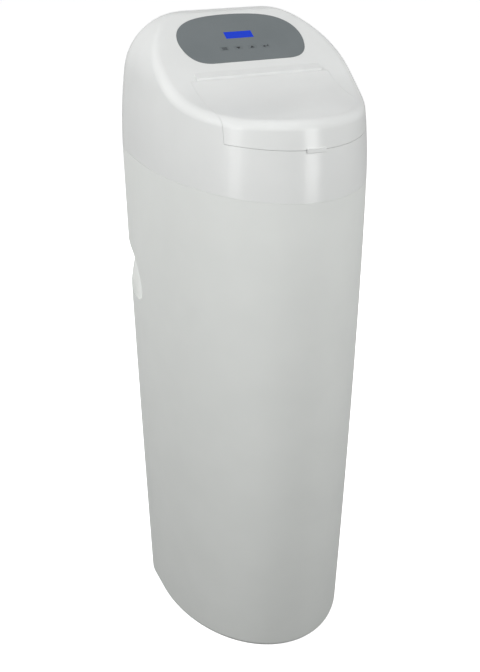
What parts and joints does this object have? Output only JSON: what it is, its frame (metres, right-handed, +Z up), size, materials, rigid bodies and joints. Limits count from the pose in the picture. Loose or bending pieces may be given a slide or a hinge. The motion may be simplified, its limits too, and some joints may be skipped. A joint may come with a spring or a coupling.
{
  "type": "cabinet water softener",
  "caption": "Upright one-piece water softener: white cabinet with a curved top cover, sloping control panel and hinged salt lid; resin tank, valve and brine well inside.",
  "frame": {"origin": "on the floor under the widest part of the cabinet, on its left-right centre plane", "axes": "+Z up; -Y is the front, where the salt lid and control panel face; +X is to the right as seen from the front"},
  "size_m": [0.35, 0.51, 1.0667],
  "materials": {
    "cabinet_white": "satin",
    "cover_white": "gloss",
    "panel_grey": "satin",
    "button_grey": "satin",
    "display_blue": "clear",
    "board_green": "satin",
    "valve_black": "satin",
    "tank_blue": "wound glass fibre",
    "boot_black": "matte",
    "resin_amber": "beads",
    "tube_white": "satin",
    "seal_black": "matte",
    "gear_white": "satin",
    "knob_blue": "satin",
    "steel": "brushed",
    "brass": "machined"
  },
  "bodies": {
    "cabinet": {"cabinet_shell": "cabinet_white", "resin_tank": "tank_blue", "tank_boot": "boot_black", "resin_bed": "resin_amber", "riser_tube": "tube_white", "bottom_strainer": "tube_white", "top_strainer": "tube_white", "valve_body": "valve_black", "seal_stack": "seal_black", "drive_cap": "valve_black", "drive_bracket": "valve_black", "drive_motor": "steel", "drive_screws": "steel", "injector": "brass", "injector_cap": "valve_black", "drain_elbow": "valve_black", "brine_fitting": "valve_black", "meter_insert": "tube_white", "bypass_body": "valve_black", "union_nuts": "valve_black", "inlet_adapter": "valve_black", "outlet_adapter": "valve_black", "adapter_nuts": "valve_black", "brine_well": "tube_white", "safety_valve": "tube_white", "brine_pickup": "tube_white", "air_check": "tube_white", "brine_line": "tube_white", "overflow_elbow": "valve_black", "overflow_nut": "valve_black"},
    "lift_off_cover": {"top_cover": "cover_white", "control_panel": "panel_grey", "display_window": "display_blue", "display_module": "valve_black", "control_board": "board_green", "board_screws": "steel"},
    "lid": {"salt_lid": "cover_white", "hinge_pins": "steel"},
    "menu_key": {"menu_button": "button_grey"},
    "down_key": {"down_button": "button_grey"},
    "up_key": {"up_button": "button_grey"},
    "set_key": {"set_button": "button_grey"},
    "gear": {"drive_gear": "gear_white"},
    "pinion": {"drive_pinion": "gear_white", "motor_shaft": "steel"},
    "piston_assembly": {"piston": "gear_white", "piston_rod": "steel"},
    "turbine": {"meter_turbine": "gear_white"},
    "inlet_valve": {"inlet_rotor": "seal_black", "inlet_knob": "knob_blue"},
    "outlet_valve": {"outlet_rotor": "seal_black", "outlet_knob": "knob_blue"},
    "float_assembly": {"brine_float": "tube_white", "float_rod": "tube_white"},
    "cap_of_well": {"well_cap": "tube_white"}
  },
  "joints": [
    {"name": "cover_lift", "type": "slide", "parent": "cabinet", "child": "lift_off_cover", "axis": [0, 0, 1], "range_m": [0, 0.3]},
    {"name": "lid_hinge", "type": "hinge", "parent": "lift_off_cover", "child": "lid", "pos_m": [0, -0.10955, 0.97644], "axis": [-1, 0, 0], "range_deg": [0, 100]},
    {"name": "menu_press", "type": "slide", "parent": "lift_off_cover", "child": "menu_key", "axis": [0, 0.4633, -0.8862], "range_m": [0, 0.0005], "stiffness_N_per_m": 600, "springref_m": -0.0002},
    {"name": "down_press", "type": "slide", "parent": "lift_off_cover", "child": "down_key", "axis": [0, 0.4633, -0.8862], "range_m": [0, 0.0005], "stiffness_N_per_m": 600, "springref_m": -0.0002},
    {"name": "up_press", "type": "slide", "parent": "lift_off_cover", "child": "up_key", "axis": [0, 0.4633, -0.8862], "range_m": [0, 0.0005], "stiffness_N_per_m": 600, "springref_m": -0.0002},
    {"name": "set_press", "type": "slide", "parent": "lift_off_cover", "child": "set_key", "axis": [0, 0.4633, -0.8862], "range_m": [0, 0.0005], "stiffness_N_per_m": 600, "springref_m": -0.0002},
    {"name": "gear_turn", "type": "hinge", "parent": "cabinet", "child": "gear", "pos_m": [0, -0.0365, 0.8671], "axis": [0, -1, 0], "range_deg": [0, 1560]},
    {"name": "piston_slide", "type": "slide", "parent": "cabinet", "child": "piston_assembly", "axis": [0, -1, 0], "range_m": [0, 0.0261]},
    {"name": "pinion_turn", "type": "hinge", "parent": "cabinet", "child": "pinion", "pos_m": [0.04163, -0.0365, 0.88225], "axis": [0, -1, 0], "range_deg": [-3864.12, 10]},
    {"name": "turbine_spin", "type": "hinge", "parent": "cabinet", "child": "turbine", "pos_m": [0.038, 0.071, 0.8391], "axis": [0, 1, 0], "continuous": true},
    {"name": "inlet_valve_turn", "type": "hinge", "parent": "cabinet", "child": "inlet_valve", "pos_m": [-0.038, 0.122, 0.8691], "axis": [0, 0, 1], "range_deg": [0, 90]},
    {"name": "outlet_valve_turn", "type": "hinge", "parent": "cabinet", "child": "outlet_valve", "pos_m": [0.038, 0.122, 0.8691], "axis": [0, 0, 1], "range_deg": [-90, 0]},
    {"name": "float_rise", "type": "slide", "parent": "cabinet", "child": "float_assembly", "axis": [0, 0, 1], "range_m": [0, 0.04]},
    {"name": "well_cap_lift", "type": "slide", "parent": "cabinet", "child": "cap_of_well", "axis": [0, 0, 1], "range_m": [0, 0.02]}
  ],
  "couplings": [
    {"joint": "piston_slide", "follows": "gear_turn", "m_per_rad": 0.00095493},
    {"joint": "pinion_turn", "follows": "gear_turn", "ratio": -2.4706}
  ]
}
